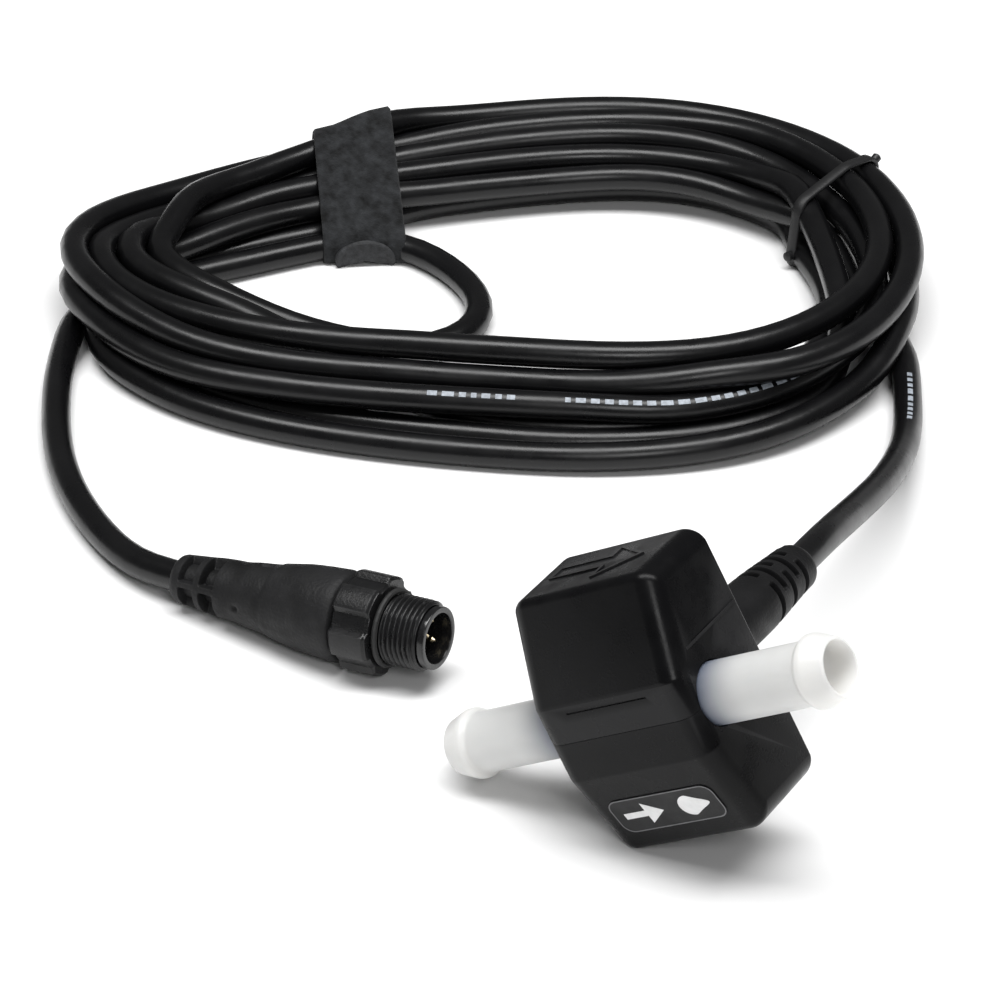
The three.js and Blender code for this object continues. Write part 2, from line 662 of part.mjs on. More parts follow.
// The threaded sleeve and its lobed grip are one piece that spins about the insert.
function couplingNut() {
  const sleeveBore = 5.3;
  const root = THREAD_RADIUS - 0.55;
  const thread = [[THREAD_START, sleeveBore], [THREAD_START, root]];
  for (let k = 0; k < THREAD_CRESTS; k += 1) {
    const start = THREAD_START + THREAD_PITCH * k;
    thread.push([start + 0.35 * THREAD_PITCH, THREAD_RADIUS], [start + 0.65 * THREAD_PITCH, THREAD_RADIUS]);
    thread.push([start + THREAD_PITCH, root]);
  }
  thread.push([NUT_FRONT + 1, root], [NUT_FRONT + 1, sleeveBore], [THREAD_START, sleeveBore]);
  const lobes = new THREE.Shape();
  const perLobe = 6;
  for (let k = 0; k < NUT_LOBES * perLobe; k += 1) {
    const angle = (2 * Math.PI * k) / (NUT_LOBES * perLobe);
    const dip = 0.85 * Math.max(Math.cos(NUT_LOBES * angle), 0) ** 2;
    const radius = NUT_RADIUS - dip;
    const method = k === 0 ? 'moveTo' : 'lineTo';
    lobes[method](radius * Math.cos(angle), radius * Math.sin(angle));
  }
  const grip = new THREE.ExtrudeGeometry(lobes, {
    depth: NUT_BACK - NUT_FRONT - 1, bevelThickness: 0.5, bevelSize: 0.5, bevelOffset: -0.5, bevelSegments: 1,
  }).translate(0, 0, 0.5).rotateY(Math.PI / 2).translate(-NUT_BACK, 0, 0);
  const shape = join([turned(backFromNose(thread), 24), solid(grip)])
    .subtract(bar(-NUT_BACK - 1, -NUT_FRONT + 1, sleeveBore, 24));
  return part('coupling_nut', shape, NUT_BLACK);
}

function connectorSeal() {
  return part('connector_o_ring', oRing(-(NUT_FRONT - 0.8), 6.3, 1), RUBBER);
}

const PIN_CIRCLE = 2.65;
const PIN_PLACES = [[0, 0], ...[45, 135, 225, 315].map((degrees) => {
  const angle = THREE.MathUtils.degToRad(degrees);
  return [PIN_CIRCLE * Math.cos(angle), PIN_CIRCLE * Math.sin(angle)];
})];

// The keyed insert that carries the contacts; its nose keeps the nut from coming off.
function contactInsert() {
  const floor = 8;
  const body = turned(backFromNose([
    [0, 4.2], [0, 5.25], [1.1, 5.25], [1.1, 5], [INSERT_BACK - 5.6, 5], [INSERT_BACK - 5.6, 3.5], [INSERT_BACK, 3.5],
    [INSERT_BACK, 0], [floor, 0],
    [floor, 4.2], [0, 4.2],
  ]), 24);
  const key = box([-floor - 0.5, -0.6, 3.5], [-1.2, 0.6, 4.6]);
  const holes = PIN_PLACES.map(([y, z]) => bar(-14, -floor + 1, 0.5 + GAP, 10).translate([0, y, z]));
  return part('contact_insert', holes.reduce((shape, hole) => shape.subtract(hole), body.add(key)), BOOT_BLACK);
}

function contactPin([y, z], number) {
  const profile = backFromNose([[2, 0], [2, 0.2], [2.5, 0.5], [13.5, 0.5], [13.5, 0]]);
  return part(`contact_pin_${number + 1}`, turned(profile, 8).translate([0, y, z]), GOLD);
}

function connectorBoot() {
  const outside = [
    [BOOT_FRONT, 0], [BOOT_FRONT, 7.4], [BOOT_FRONT + 0.6, 7.8], [22, 7.6], [26, 7.25], [31, 6.6], [36, 6.1], [41, 5.4],
    [42.1, 5.2], [42.2, 3.9], [43.6, 3.9], [43.7, 5], [46.2, 4.8], [46.3, 3.7], [47.7, 3.7], [47.8, 4.4], [51, 4.1],
    [BOOT_BACK, 3.3], [BOOT_BACK, 0],
  ];
  const socket = bar(-INSERT_BACK - GAP, -BOOT_FRONT + 1, 3.5 + GAP, 24);
  return part('connector_boot', turned(backFromNose(outside), 24).subtract(socket), BOOT_BLACK);
}

// ---------- assembly ----------

function buildSensor() {
  const group = new THREE.Group();
  const shell = housingShell();
  group.add(housingUpper(shell), housingLower(shell), label());
  group.add(barb('inlet_barb', -1), barb('outlet_barb', 1), flowChamber());
  group.add(pipeSeal('inlet_o_ring', -1), pipeSeal('outlet_o_ring', 1));
  group.add(bearingSpider('inlet_bearing', -1), bearingSpider('outlet_bearing', 1));
  group.add(turbineRotor(), rotorMagnet(), rotorShaft());
  group.add(circuitBoard(), hallSensor(), capacitor('supply_capacitor', 5.4), capacitor('filter_capacitor', 0.6));
  const wires = ['supply_wire', 'signal_wire_high', 'shield_wire', 'signal_wire_low', 'ground_wire'];
  wires.forEach((name, k) => group.add(wire(name, k - 2)));
  group.add(chip('microcontroller', [-5.4, 4.4], 6, 5, 1.2, 6));
  group.add(chip('bus_transceiver', [4.6, 3.6], 4.8, 3.8, 1.4, 4));
  group.add(chip('voltage_regulator', [-0.6, -1.2], 3, 1.6, 1.2, 3));
  return group;
}

function buildConnector() {
  const group = new THREE.Group();
  group.add(couplingNut(), connectorSeal(), contactInsert(), connectorBoot(), ...PIN_PLACES.map(contactPin));
  group.rotation.set(0, -CONNECTOR_PITCH, CONNECTOR_YAW, 'ZYX');
  group.position.copy(NOSE);
  group.updateMatrixWorld(true);
  return group;
}

// Tilts the sensor and stands it on the table with its box centred on the origin.
function standOnTable(sensor) {
  sensor.rotation.y = -TILT;
  sensor.updateMatrixWorld(true);
  const bounds = new THREE.Box3().setFromObject(sensor, true);
  const middle = bounds.getCenter(new THREE.Vector3());
  sensor.position.set(-middle.x, -middle.y, -bounds.min.z);
  sensor.updateMatrixWorld(true);
}

const model = new THREE.Group();
const sensor = buildSensor();
standOnTable(sensor);
const relief = strainRelief();
relief.position.copy(sensor.localToWorld(new THREE.Vector3(0, BACK, RELIEF_HEIGHT)));
const connector = buildConnector();
const reliefEnd = new THREE.Vector3(0, RELIEF_LENGTH + LEAD_GAP, -RELIEF_DROOP);
const leadStart = relief.position.clone().add(reliefEnd);
const leadEnd = connector.localToWorld(new THREE.Vector3(-BOOT_BACK - LEAD_GAP, 0, 0));
model.add(sensor, relief, connector, cableToSensor(leadStart), cableToConnector(leadEnd));
model.add(cableCoil(), coilStrap(), coilTie());

export default model;
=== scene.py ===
import json
import math

import bmesh
import bpy
import numpy as np
from mathutils import Matrix, Vector


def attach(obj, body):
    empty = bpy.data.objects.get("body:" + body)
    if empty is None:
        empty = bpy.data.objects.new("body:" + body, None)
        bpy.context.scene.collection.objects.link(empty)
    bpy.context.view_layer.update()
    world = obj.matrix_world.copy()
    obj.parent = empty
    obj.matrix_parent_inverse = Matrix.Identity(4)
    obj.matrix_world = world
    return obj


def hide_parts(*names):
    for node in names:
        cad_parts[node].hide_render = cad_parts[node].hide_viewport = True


# The looks of an in-line flow sensor with its coiled cable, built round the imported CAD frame.
# Lengths are worked out in millimetres, in the row frame, and every Blender object is in metres.

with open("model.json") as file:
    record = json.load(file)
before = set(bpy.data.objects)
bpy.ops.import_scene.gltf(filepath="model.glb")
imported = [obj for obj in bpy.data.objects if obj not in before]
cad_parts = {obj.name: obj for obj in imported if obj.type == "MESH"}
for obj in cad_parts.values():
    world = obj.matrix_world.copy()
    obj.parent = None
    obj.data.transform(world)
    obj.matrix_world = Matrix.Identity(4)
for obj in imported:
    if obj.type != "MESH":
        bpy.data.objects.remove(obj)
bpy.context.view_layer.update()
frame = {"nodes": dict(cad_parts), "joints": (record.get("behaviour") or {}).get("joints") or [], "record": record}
MM = 0.001
joints = {joint["name"]: joint for joint in frame["joints"]}

# ---------- the frames of the sensor and of the connector ----------


def unit(vector):
    vector = np.array(vector, float)
    return vector / np.linalg.norm(vector)


class Axes:
    """A set of axes in the row frame: x along a joint's axis, y level, z up."""

    def __init__(self, joint):
        self.origin = np.array(joint["pos_m"], float) / MM
        self.x = unit(joint["axis"])
        self.y = unit(np.cross([0, 0, 1], self.x))
        self.z = np.cross(self.x, self.y)

    def at(self, x, y, z):
        return self.origin + x * self.x + y * self.y + z * self.z


SENSOR = Axes(joints["rotor_spin"])
CONNECTOR = Axes(joints["nut_spin"])

# ---------- camera ----------

CAMERA_PLACE = (0.208508, -0.397917, 0.340258)
CAMERA_AZIMUTH = math.radians(30.678)
CAMERA_ELEVATION = math.radians(32)
CAMERA_ROLL = math.radians(0.5)
CAMERA_SENSOR = 36
CAMERA_LENS = 129.6


def make_camera():
    camera = bpy.data.objects.new("camera", bpy.data.cameras.new("camera"))
    bpy.context.scene.collection.objects.link(camera)
    level = math.cos(CAMERA_ELEVATION)
    back = np.array([
        math.sin(CAMERA_AZIMUTH) * level,
        -math.cos(CAMERA_AZIMUTH) * level,
        math.sin(CAMERA_ELEVATION),
    ])
    right = np.array([math.cos(CAMERA_AZIMUTH), math.sin(CAMERA_AZIMUTH), 0])
    up = np.cross(back, right)
    c, s = math.cos(CAMERA_ROLL), math.sin(CAMERA_ROLL)
    turn = np.column_stack([c * right + s * up, c * up - s * right, back])
    camera.matrix_world = Matrix.Translation(CAMERA_PLACE) @ Matrix(turn.tolist()).to_4x4()
    camera.data.sensor_width = CAMERA_SENSOR
    camera.data.lens = CAMERA_LENS
    camera.data.clip_start = 0.01
    camera.data.clip_end = 10
    bpy.context.scene.camera = camera


make_camera()

# ---------- materials ----------


def shade(name, color, roughness, *, spread=0.25, patch=60, grain=1500, bump=0.1, rough_spread=0.08,
          edge_wear=0.0, **surface):
    """A material whose colour, roughness and relief all vary: patch and grain are per metre."""
    made = bpy.data.materials.new(name)
    made.use_nodes = True
    nodes, links = made.node_tree.nodes, made.node_tree.links
    shader = nodes["Principled BSDF"]
    place = nodes.new("ShaderNodeTexCoord")

    def noise(scale, detail):
        node = nodes.new("ShaderNodeTexNoise")
        node.inputs["Scale"].default_value = scale
        node.inputs["Detail"].default_value = detail
        links.new(place.outputs["Object"], node.inputs["Vector"])
        return node

    def spans(source, low, high):
        node = nodes.new("ShaderNodeMapRange")
        node.inputs["From Min"].default_value = 0.3
        node.inputs["From Max"].default_value = 0.7
        node.inputs["To Min"].default_value = low
        node.inputs["To Max"].default_value = high
        links.new(source, node.inputs["Value"])
        return node

    patches = noise(patch, 4)
    ramp = nodes.new("ShaderNodeValToRGB")
    dark = [max(0, c * (1 - spread)) for c in color]
    light = [min(1, c * (1 + spread)) for c in color]
    ramp.color_ramp.elements[0].position = 0.3
    ramp.color_ramp.elements[0].color = (*dark, 1)
    ramp.color_ramp.elements[1].position = 0.7
    ramp.color_ramp.elements[1].color = (*light, 1)
    links.new(patches.outputs["Fac"], ramp.inputs["Fac"])
    tint = ramp.outputs["Color"]
    if edge_wear:
        geometry = nodes.new("ShaderNodeNewGeometry")
        edge = nodes.new("ShaderNodeMapRange")
        edge.inputs["From Min"].default_value = 0.53
        edge.inputs["From Max"].default_value = 0.62
        links.new(geometry.outputs["Pointiness"], edge.inputs["Value"])
        worn = nodes.new("ShaderNodeMixRGB")
        worn.inputs["Color2"].default_value = (*[min(1, c * 2.4 + 0.02) for c in color], 1)
        amount = nodes.new("ShaderNodeMath")
        amount.operation = "MULTIPLY"
        amount.inputs[1].default_value = edge_wear
        links.new(edge.outputs["Result"], amount.inputs[0])
        links.new(amount.outputs["Value"], worn.inputs["Fac"])
        links.new(tint, worn.inputs["Color1"])
        tint = worn.outputs["Color"]
    links.new(tint, shader.inputs["Base Color"])
    fine = noise(grain, 3)
    gloss = spans(noise(patch * 3, 3).outputs["Fac"], roughness - rough_spread, roughness + rough_spread)
    links.new(gloss.outputs["Result"], shader.inputs["Roughness"])
    relief = nodes.new("ShaderNodeBump")
    relief.inputs["Strength"].default_value = bump
    relief.inputs["Distance"].default_value = 0.0002
    links.new(fine.outputs["Fac"], relief.inputs["Height"])
    links.new(relief.outputs["Normal"], shader.inputs["Normal"])
    for socket, value in surface.items():
        shader.inputs[socket.replace("_", " ")].default_value = value
    return made


def nylon():
    """Milky translucent plastic, with painted shade in its base colour near the place it comes out of the housing.
    """
    made = shade("milky_nylon", (0.7, 0.695, 0.675), 0.38, spread=0.02, patch=90, grain=900, bump=0.05,
                 Subsurface_Weight=0.7, Subsurface_Scale=0.006)
    nodes, links = made.node_tree.nodes, made.node_tree.links
    shader = nodes["Principled BSDF"]
    shader.inputs["Subsurface Radius"].default_value = (1.0, 0.95, 0.9)
    plain = shader.inputs["Base Color"].links[0].from_socket
    place = nodes.new("ShaderNodeTexCoord")
    along = nodes.new("ShaderNodeVectorMath")
    along.operation = "DOT_PRODUCT"
    along.inputs[1].default_value = SENSOR.x
    links.new(place.outputs["Object"], along.inputs[0])
    either = nodes.new("ShaderNodeMath")
    either.operation = "ABSOLUTE"
    middle = float(np.dot(SENSOR.origin, SENSOR.x)) * MM
    shift = nodes.new("ShaderNodeMath")
    shift.operation = "SUBTRACT"
    shift.inputs[1].default_value = middle
    links.new(along.outputs["Value"], shift.inputs[0])
    links.new(shift.outputs["Value"], either.inputs[0])
    # Painted shade: the base colour is dark blue-grey within 12.5 mm of the housing's middle and fades to the
    # plain colour by 23.5 mm.
    reach = nodes.new("ShaderNodeMapRange")
    reach.inputs["From Min"].default_value = 0.0125
    reach.inputs["From Max"].default_value = 0.0235
    reach.interpolation_type = "SMOOTHSTEP"
    links.new(either.outputs["Value"], reach.inputs["Value"])
    painted_root_shade = nodes.new("ShaderNodeMixRGB")
    painted_root_shade.inputs["Color1"].default_value = (0.06, 0.08, 0.13, 1)
    links.new(plain, painted_root_shade.inputs["Color2"])
    links.new(reach.outputs["Result"], painted_root_shade.inputs["Fac"])
    links.new(painted_root_shade.outputs["Color"], shader.inputs["Base Color"])
    return made


MATERIALS = {
    "housing_black": shade("housing_black", (0.0032, 0.0032, 0.0036), 0.3, patch=70, grain=2600, bump=0.08,
                           edge_wear=0.5, Specular_IOR_Level=0.14),
    "label_black": shade("label_black", (0.011, 0.011, 0.0115), 0.5, patch=150, grain=3500, bump=0.12,
                         Specular_IOR_Level=0.3),
    "milky_nylon": nylon(),
    "chamber_grey": shade("chamber_grey", (0.5, 0.51, 0.53), 0.45, spread=0.06, bump=0.1),
    "seal_rubber": shade("seal_rubber", (0.012, 0.012, 0.012), 0.7, bump=0.3),
    "rotor_white": shade("rotor_white", (0.8, 0.8, 0.76), 0.45, spread=0.05, bump=0.08),
    "magnet_grey": shade("magnet_grey", (0.12, 0.12, 0.13), 0.5, bump=0.4, Metallic=0.7),
    "shaft_steel": shade("shaft_steel", (0.55, 0.56, 0.58), 0.3, spread=0.08, bump=0.08, Metallic=1.0),
    "board_green": shade("board_green", (0.02, 0.13, 0.045), 0.4, patch=400, bump=0.2),
    "chip_black": shade("chip_black", (0.015, 0.015, 0.016), 0.6, grain=3000, bump=0.4),
    "tantalum": shade("tantalum", (0.5, 0.26, 0.05), 0.5, bump=0.2),
    "wire_sleeve": shade("wire_sleeve", (0.4, 0.06, 0.03), 0.45, bump=0.1),
    "relief_black": shade("relief_black", (0.007, 0.007, 0.0075), 0.5, patch=120, grain=2200, bump=0.3,
                          edge_wear=0.5, Specular_IOR_Level=0.18),
    "cable_black": shade("cable_black", (0.003, 0.003, 0.0034), 0.3, patch=45, grain=700, bump=0.1,
                         rough_spread=0.06, Specular_IOR_Level=0.36),
    "strap_charcoal": shade("strap_charcoal", (0.013, 0.0138, 0.015), 0.9, spread=0.8, patch=420, grain=2600,
                            bump=1.0, Specular_IOR_Level=0.25, Sheen_Weight=0.06, Sheen_Roughness=0.5),
    "tie_black": shade("tie_black", (0.01, 0.01, 0.0105), 0.5, bump=0.3, Specular_IOR_Level=0.4),
    "nut_black": shade("nut_black", (0.008, 0.008, 0.0085), 0.32, patch=140, grain=2500, bump=0.25,
                       edge_wear=0.6, Specular_IOR_Level=0.32),
    "insert_black": shade("insert_black", (0.007, 0.007, 0.0075), 0.22, patch=200, grain=2000, bump=0.1,
                          edge_wear=0.3),
    "boot_black": shade("boot_black", (0.009, 0.009, 0.0095), 0.58, spread=0.7, patch=110, grain=1700,
                        bump=0.55, edge_wear=0.5, Specular_IOR_Level=0.24),
    "contact_gold": shade("contact_gold", (0.76, 0.64, 0.42), 0.25, spread=0.08, bump=0.05, Metallic=1.0),
}
PRINT_WHITE = shade("print_white", (0.3, 0.33, 0.37), 0.5, spread=0.3, patch=1500, bump=0.1)
TAB_GREY = shade("tab_grey", (0.02, 0.021, 0.023), 0.75, spread=0.5, patch=900, grain=2600, bump=0.8)
LABEL_PRINT = shade("label_print", (0.8, 0.8, 0.8), 0.5, spread=0.06, patch=800, bump=0.1)
LABEL_RIM = shade("label_rim", (0.13, 0.13, 0.135), 0.5, spread=0.2, patch=600, bump=0.1)

# ---------- mesh helpers ----------

SHARP = math.radians(32)


def finished(obj, body, slot, material=None, sharp=SHARP):
    """Gives a mesh smooth shading with crisp edges, its material (the slot's, unless one is given) and its body.
    """
    mesh = obj.data
    mesh.materials.clear()
    mesh.materials.append(material or MATERIALS[slot])
    if obj.type == "MESH":
        mesh.shade_smooth()
        mesh.set_sharp_from_angle(angle=sharp)
    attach(obj, body)
    return obj


def mesh_object(name, points, faces):
    """A mesh from points in millimetres, with its faces turned outwards."""
    mesh = bpy.data.meshes.new(name)
    mesh.from_pydata([tuple(float(v) * MM for v in p) for p in points], [], faces)
    net = bmesh.new()
    net.from_mesh(mesh)
    bmesh.ops.remove_doubles(net, verts=net.verts, dist=1e-7)
    bmesh.ops.recalc_face_normals(net, faces=net.faces)
    net.to_mesh(mesh)
    net.free()
    obj = bpy.data.objects.new(name, mesh)
    bpy.context.scene.collection.objects.link(obj)
    return obj


def skin(rings, closed=False):
    """Points and faces over rings of equal point count; closed joins the last ring to the first."""
    count = len(rings[0])
    points = [p for ring in rings for p in ring]
    faces = []
    spans = len(rings) if closed else len(rings) - 1
    for i in range(spans):
        after = (i + 1) % len(rings)
        for j in range(count):
            k = (j + 1) % count
            faces.append((i * count + j, i * count + k, after * count + k, after * count + j))
    if not closed:
        faces.append(tuple(range(count)))
        faces.append(tuple(range(len(points) - count, len(points))))
    return points, faces


def turned(name, axes, profile, sides=72):
    """A profile of (along x, radius) turned about an axes' x, closed on itself like a ring."""
    rings = []
    for k in range(sides):
        angle = 2 * math.pi * k / sides
        c, s = math.cos(angle), math.sin(angle)
        rings.append([axes.at(x, r * c, r * s) for x, r in profile])
    return mesh_object(name, *skin(rings, closed=True))


def carved(name, axes, stations, radius_at, bore, sides=96):
    """A tube along an axes' x whose outer radius varies with place and angle; bore is its inner radius."""
    outer, inner = [], []
    for x in stations:
        ring, hole = [], []
        for k in range(sides):
            angle = 2 * math.pi * k / sides
            c, s = math.cos(angle), math.sin(angle)
            r = radius_at(x, angle)
            ring.append(axes.at(x, r * c, r * s))
            hole.append(axes.at(x, bore * c, bore * s))
        outer.append(ring)
        inner.append(hole)
    return mesh_object(name, *skin(outer + inner[::-1], closed=True))


def rounded(profile, radius, steps=4):
    """The same closed profile with each corner turned into an arc of up to that radius."""
    out = []
    count = len(profile)
    for i, corner in enumerate(profile):
        corner = np.array(corner, float)
        back = np.array(profile[i - 1], float) - corner
        on = np.array(profile[(i + 1) % count], float) - corner
        trim = min(radius, 0.45 * np.linalg.norm(back), 0.45 * np.linalg.norm(on))
        a, b = corner + trim * unit(back), corner + trim * unit(on)
        for k in range(steps + 1):
            t = k / steps
            out.append(tuple((1 - t) ** 2 * a + 2 * t * (1 - t) * corner + t * t * b))
    return out


def prism(name, axes_points, height, direction):
    """A flat outline of points given a thickness along a direction."""
    low = [np.array(p, float) for p in axes_points]
    high = [p + height * np.array(direction) for p in low]
    return mesh_object(name, *skin([low, high]))


def cut(obj, tool, operation="DIFFERENCE"):
    """Applies a boolean of two closed meshes and removes the tool."""
    modifier = obj.modifiers.new("cut", "BOOLEAN")
    modifier.object = tool
    modifier.operation = operation
    modifier.solver = "EXACT"
    joined = bpy.data.meshes.new_from_object(obj.evaluated_get(bpy.context.evaluated_depsgraph_get()))
    obj.modifiers.clear()
    obj.data = joined
    bpy.data.objects.remove(tool)
    return obj


def smoothstep(low, high, value):
    t = min(max((value - low) / (high - low), 0), 1)
    return t * t * (3 - 2 * t)


# ---------- the cable: one line from the strain relief, round the coil, to the connector's boot ----------

CABLE = 5.4
COIL_CENTRE = (-107.7, 130)
COIL_TURN = math.radians(32.9)
COIL_A = 74.2
COIL_B = 51.9
COIL_EGG = 0.27

# From the strain relief down to the table and under the coil's right end.
LEAD_IN = [
    (0.36, 45.5, 22.83), (-0.6, 56.5, 21.2), (-1.9, 65, 19), (-3.2, 74, 16.5), (-4.6, 83, 14),
    (-6, 91.9, 11.6), (-7.7, 100.3, 9.5), (-9.8, 108.7, 7.5), (-12.8, 118, 5.2), (-17.2, 129, 3.4),
    (-24.1, 142.7, 2.8), (-30.3, 152.3, 2.8), (-36.7, 159.7, 2.8),
]
# Where the cable lies in the bundle every 45 degrees: (outwards from the coil's middle line, height).
# A turn starts at the coil's right end and runs by the back, the left end and the front.
TURNS = [
    [(-2.5, 2.7), (-9, 7.5), (-13.5, 6.5), (-9, 6.5), (-4, 7), (5, 3.2), (2, 2.8), (3, 2.8)],
    [(-8, 9.3), (-4, 10), (-8.5, 9.5), (-7, 9), (-5, 12.6), (-9.5, 11.5), (-3.5, 2.8), (-4, 2.8)],
    [(-8, 3), (-5, 2.7), (-11, 2.7), (-12, 2.7), (1, 7.5), (11, 2.7), (7.6, 2.7), (7.8, 4.2)],
    [(6, 8.2), (2.5, 6.5), (4, 6), (4.5, 4.5), (3.5, 8), (8.5, 8.6), (-0.3, 8.7), (1.5, 8.2)],
    [(0.3, 8.6), (0, 11.3), (-3.5, 11), (0, 8), (1.5, 12.5), (-2, 13), (-9.5, 14.3), (-5.5, 14)],
    [(1.5, 14), (4, 13), (2, 11.5), (5.5, 10), (4.3, 13.6), (4.5, 11.2), (-7, 9.8), (2.5, 12.2)],
    [(7.3, 13.8), (8.8, 13), (6, 12.3), (-2.5, 12.3), (-10.8, 12.5), (-13, 11)],
]
# The last turn leaves the front of the bundle, crosses the coil's middle, goes back through the strap
# and comes out under the left end.
SHORT_CUT = [
    (-128.5, 93.5, 7), (-118, 98.5, 4.5), (-108.5, 104.5, 2.8), (-103.6, 114.5, 2.7), (-107, 125.5, 2.7),
    (-117, 133.5, 2.7), (-131, 138, 2.7), (-145.4, 132.8, 2.7), (-155, 120.5, 2.7), (-163, 104, 2.7),
    (-168.5, 88, 2.7), (-168, 77, 2.7),
]
# From the coil's left end along the table, up into the connector's boot.
LEAD_OUT = [
    (-164.2, 68.8, 2.8), (-160, 61.2, 2.8), (-153.7, 52, 2.8), (-146.6, 42.8, 2.8), (-139, 34.6, 2.8),
    (-131, 27.8, 2.8), (-122.8, 22.2, 2.9), (-114.6, 17.8, 3.2), (-107, 15, 3.9),
    tuple(CONNECTOR.at(-49.5, 0, 0)),
]
STEP = 4.0


def coil_point(angle, outwards):
    """A point of the coil's egg-shaped middle line, or off it by a distance outwards."""
    out = unit([COIL_B * (math.cos(angle) + COIL_EGG * math.cos(2 * angle)), COIL_A * math.sin(angle)])
    u = COIL_A * math.cos(angle) + outwards * out[0]
    v = COIL_B * (1 + COIL_EGG * math.cos(angle)) * math.sin(angle) + outwards * out[1]
    c, s = math.cos(COIL_TURN), math.sin(COIL_TURN)
    return COIL_CENTRE[0] + u * c - v * s, COIL_CENTRE[1] + u * s + v * c


def between(a, b, c, d, t):
    """Catmull-Rom from b to c."""
    return 0.5 * (2 * b + (c - a) * t + (2 * a - 5 * b + 4 * c - d) * t * t
                  + (3 * b - a - 3 * c + d) * t ** 3)


def padded_ends(points):
    p = np.array(points, float)
    return np.vstack([2 * p[0] - p[1], p, 2 * p[-1] - p[-2]])


def coil_turns():
    lanes = padded_ends([lane for turn in TURNS for lane in turn])
    points = []
    parts = 5
    for k in range(len(lanes) - 3):
        for i in range(parts):
            outwards, height = between(*lanes[k:k + 4], i / parts)
            points.append((*coil_point(math.radians(45 * (k + i / parts)), outwards), height))
    return points


def evenly(points, step):
    """A smooth line through the points, cut into equal steps."""
    p = padded_ends(points)
    fine = [between(a, b, c, d, t / 8) for a, b, c, d in zip(p, p[1:], p[2:], p[3:]) for t in range(8)]
    fine = np.array(fine + [p[-2]])
    run = np.r_[0, np.cumsum(np.linalg.norm(np.diff(fine, axis=0), axis=1))]
    places = np.linspace(0, run[-1], int(round(run[-1] / step)) + 1)
    return np.column_stack([np.interp(places, run, fine[:, k]) for k in range(3)])


def settled(line, rounds=260):
    """Pushes the turns apart until they lie beside and on each other, a diameter apart."""
    wanted = line.copy()
    p = line.copy()
    count = len(p)
    gap = CABLE + 0.05
    first, second = np.triu_indices(count, 5)
    held = 4                                    # points at each end that stay where they are
    for _ in range(rounds):
        along = np.gradient(p, axis=0)
        along /= np.linalg.norm(along, axis=1)[:, None]
        near = np.abs(p[first] - p[second]).max(axis=1) < gap + STEP
        i, j = first[near], second[near]
        apart = p[i] - p[j]
        push = np.zeros_like(p)
        hits = np.zeros(count)
        for way in (along[i], along[j]):
            reach = (apart * way).sum(axis=1)
            across = apart - reach[:, None] * way
            distance = np.linalg.norm(across, axis=1)
            hit = (np.abs(reach) < 0.75 * STEP) & (distance < gap)
            share = ((gap - distance[hit]) / 2 / np.maximum(distance[hit], 1e-6))[:, None] * across[hit]
            np.add.at(push, i[hit], share)
            np.add.at(push, j[hit], -share)
            np.add.at(hits, i[hit], 1)
            np.add.at(hits, j[hit], 1)
        bow = np.zeros_like(p)
        bow[1:-1] = (p[:-2] + p[2:]) / 2 - p[1:-1]
        stiff = np.zeros_like(p)
        stiff[1:-1] = bow[1:-1] - (bow[:-2] + bow[2:]) / 2
        move = push / np.maximum(hits, 1)[:, None] + 0.2 * stiff + 0.04 * (wanted - p)
        move[:held] = 0
        move[-held:] = 0
        p = p + move
        p[:, 2] = np.maximum(p[:, 2], CABLE / 2 + 0.05)
    return p


ROUTE = settled(evenly(LEAD_IN + coil_turns() + SHORT_CUT + LEAD_OUT, STEP))


def make_cable():
    curve = bpy.data.curves.new("cable", "CURVE")
    curve.dimensions = "3D"
    curve.bevel_depth = CABLE / 2 * MM
    curve.bevel_resolution = 6
    curve.use_fill_caps = True
    spline = curve.splines.new("POLY")
    spline.points.add(len(ROUTE) - 1)
    for point, place in zip(spline.points, ROUTE):
        point.co = (*(place * MM), 1)
    spline.use_smooth = True
    obj = bpy.data.objects.new("cable", curve)
    bpy.context.scene.collection.objects.link(obj)
    curve.materials.append(MATERIALS["cable_black"])
    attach(obj, "sensor")
    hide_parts("cable_to_sensor", "cable_coil", "cable_to_connector")
    return obj


cable = make_cable()

PRINT_LEAN = math.radians(57)        # how far up the cable's front side the print lies
PRINT_HALF = math.radians(10)
PRINT_SHARES = (-1, -0.5, 0, 0.5, 1)
PRINT_START = (-91.5, 80.5, 8.3)     # on the front of the bundle
LEAD_PRINT_START = (-13.8, 120.8, 4.7)
LEAD_PRINT_LEAN = math.radians(84)


def print_marks(name, first, marks, lean):
    """Generic marks printed on the cable: (start, length) in mm from the place nearest to first."""
    run = np.r_[0, np.cumsum(np.linalg.norm(np.diff(ROUTE, axis=0), axis=1))]
    start = run[int(np.argmin(np.linalg.norm(ROUTE - np.array(first), axis=1)))]
    points, faces = [], []
    for begin, length in marks:
        rings = []
        for place in start + begin + np.linspace(0, length, 5):
            middle = np.array([np.interp(place, run, ROUTE[:, k]) for k in range(3)])
            ahead = np.array([np.interp(place + 1, run, ROUTE[:, k]) for k in range(3)])
            way = unit(ahead - middle)
            side = unit(np.cross(way, [0, 0, 1]))
            up = np.cross(side, way)
            ring = []
            for radius, shares in ((CABLE / 2 + 0.05, PRINT_SHARES), (CABLE / 2 - 0.1, PRINT_SHARES[::-1])):
                for share in shares:
                    a = lean + share * PRINT_HALF
                    ring.append(middle + radius * (math.cos(a) * side + math.sin(a) * up))
            rings.append(ring)
        here, skins = skin(rings)
        faces += [tuple(len(points) + k for k in face) for face in skins]
        points += here
    obj = mesh_object(name, points, faces)
    return finished(obj, "sensor", "cable_black", PRINT_WHITE, sharp=math.radians(60))


def run_of_marks(start, lengths, gap=0.9):
    marks = []
    for length in lengths:
        marks.append((start, length))
        start += length + gap
    return marks


